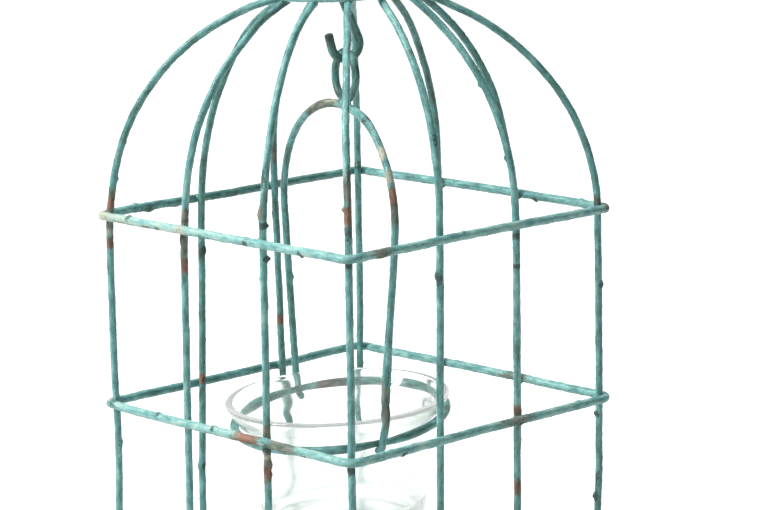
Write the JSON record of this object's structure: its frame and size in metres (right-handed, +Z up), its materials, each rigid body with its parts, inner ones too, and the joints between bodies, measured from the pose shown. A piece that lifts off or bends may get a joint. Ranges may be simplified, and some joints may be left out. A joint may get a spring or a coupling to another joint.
{
  "type": "wire birdcage lantern",
  "caption": "Square wire birdcage lantern with a domed top, a flared glass cup hung inside from an S-hook by a wire bail, and a hanging loop.",
  "frame": {"origin": "centre of the footprint, on the surface that the lantern stands on", "axes": "+Z up towards the hanging loop, +X and +Y square to the faces, -Y the front face"},
  "size_m": [0.155, 0.155, 0.2883],
  "materials": {
    "cage_paint": "distressed aqua paint over rusty iron",
    "hook_paint": "dark teal paint, lightly worn",
    "bail_paint": "rubbed teal paint with grey-brown and cream patches",
    "clear_glass": "clear pressed glass"
  },
  "bodies": {
    "cage": {"hoop_base": "cage_paint", "hoop_middle": "cage_paint", "hoop_upper": "cage_paint", "corner_rib_front_left": "cage_paint", "corner_rib_front_right": "cage_paint", "corner_rib_back_right": "cage_paint", "corner_rib_back_left": "cage_paint", "front_rib_1": "cage_paint", "front_rib_2": "cage_paint", "right_rib_1": "cage_paint", "right_rib_2": "cage_paint", "back_rib_1": "cage_paint", "back_rib_2": "cage_paint", "left_rib_1": "cage_paint", "left_rib_2": "cage_paint", "crown_ring": "cage_paint", "crown_bar": "cage_paint", "hanging_loop": "cage_paint"},
    "hook": {"s_hook": "hook_paint"},
    "bail": {"bail_eye": "hook_paint", "bail_arch": "bail_paint"},
    "ring": {"cup_ring": "bail_paint"},
    "cup": {"glass_cup": "clear_glass"}
  },
  "joints": [
    {"name": "hook_swing", "type": "hinge", "parent": "cage", "child": "hook", "pos_m": [-0.00005, -0.00005, 0.2608], "axis": [0.9482, -0.3174, 0.0117], "range_deg": [-5, 5]},
    {"name": "bail_swing", "type": "hinge", "parent": "hook", "child": "bail", "pos_m": [-0.00076, -0.00228, 0.229], "axis": [0.3173, 0.9483, 0], "range_deg": [-5, 5]},
    {"name": "ring_rock", "type": "hinge", "parent": "bail", "child": "ring", "pos_m": [-0.00462, -0.00671, 0.07747], "axis": [0.9283, -0.3694, -0.0424], "range_deg": [-14, 5]},
    {"name": "glass_lift", "type": "slide", "parent": "ring", "child": "cup", "axis": [0, 0, 1], "range_m": [0, 0.06]}
  ]
}
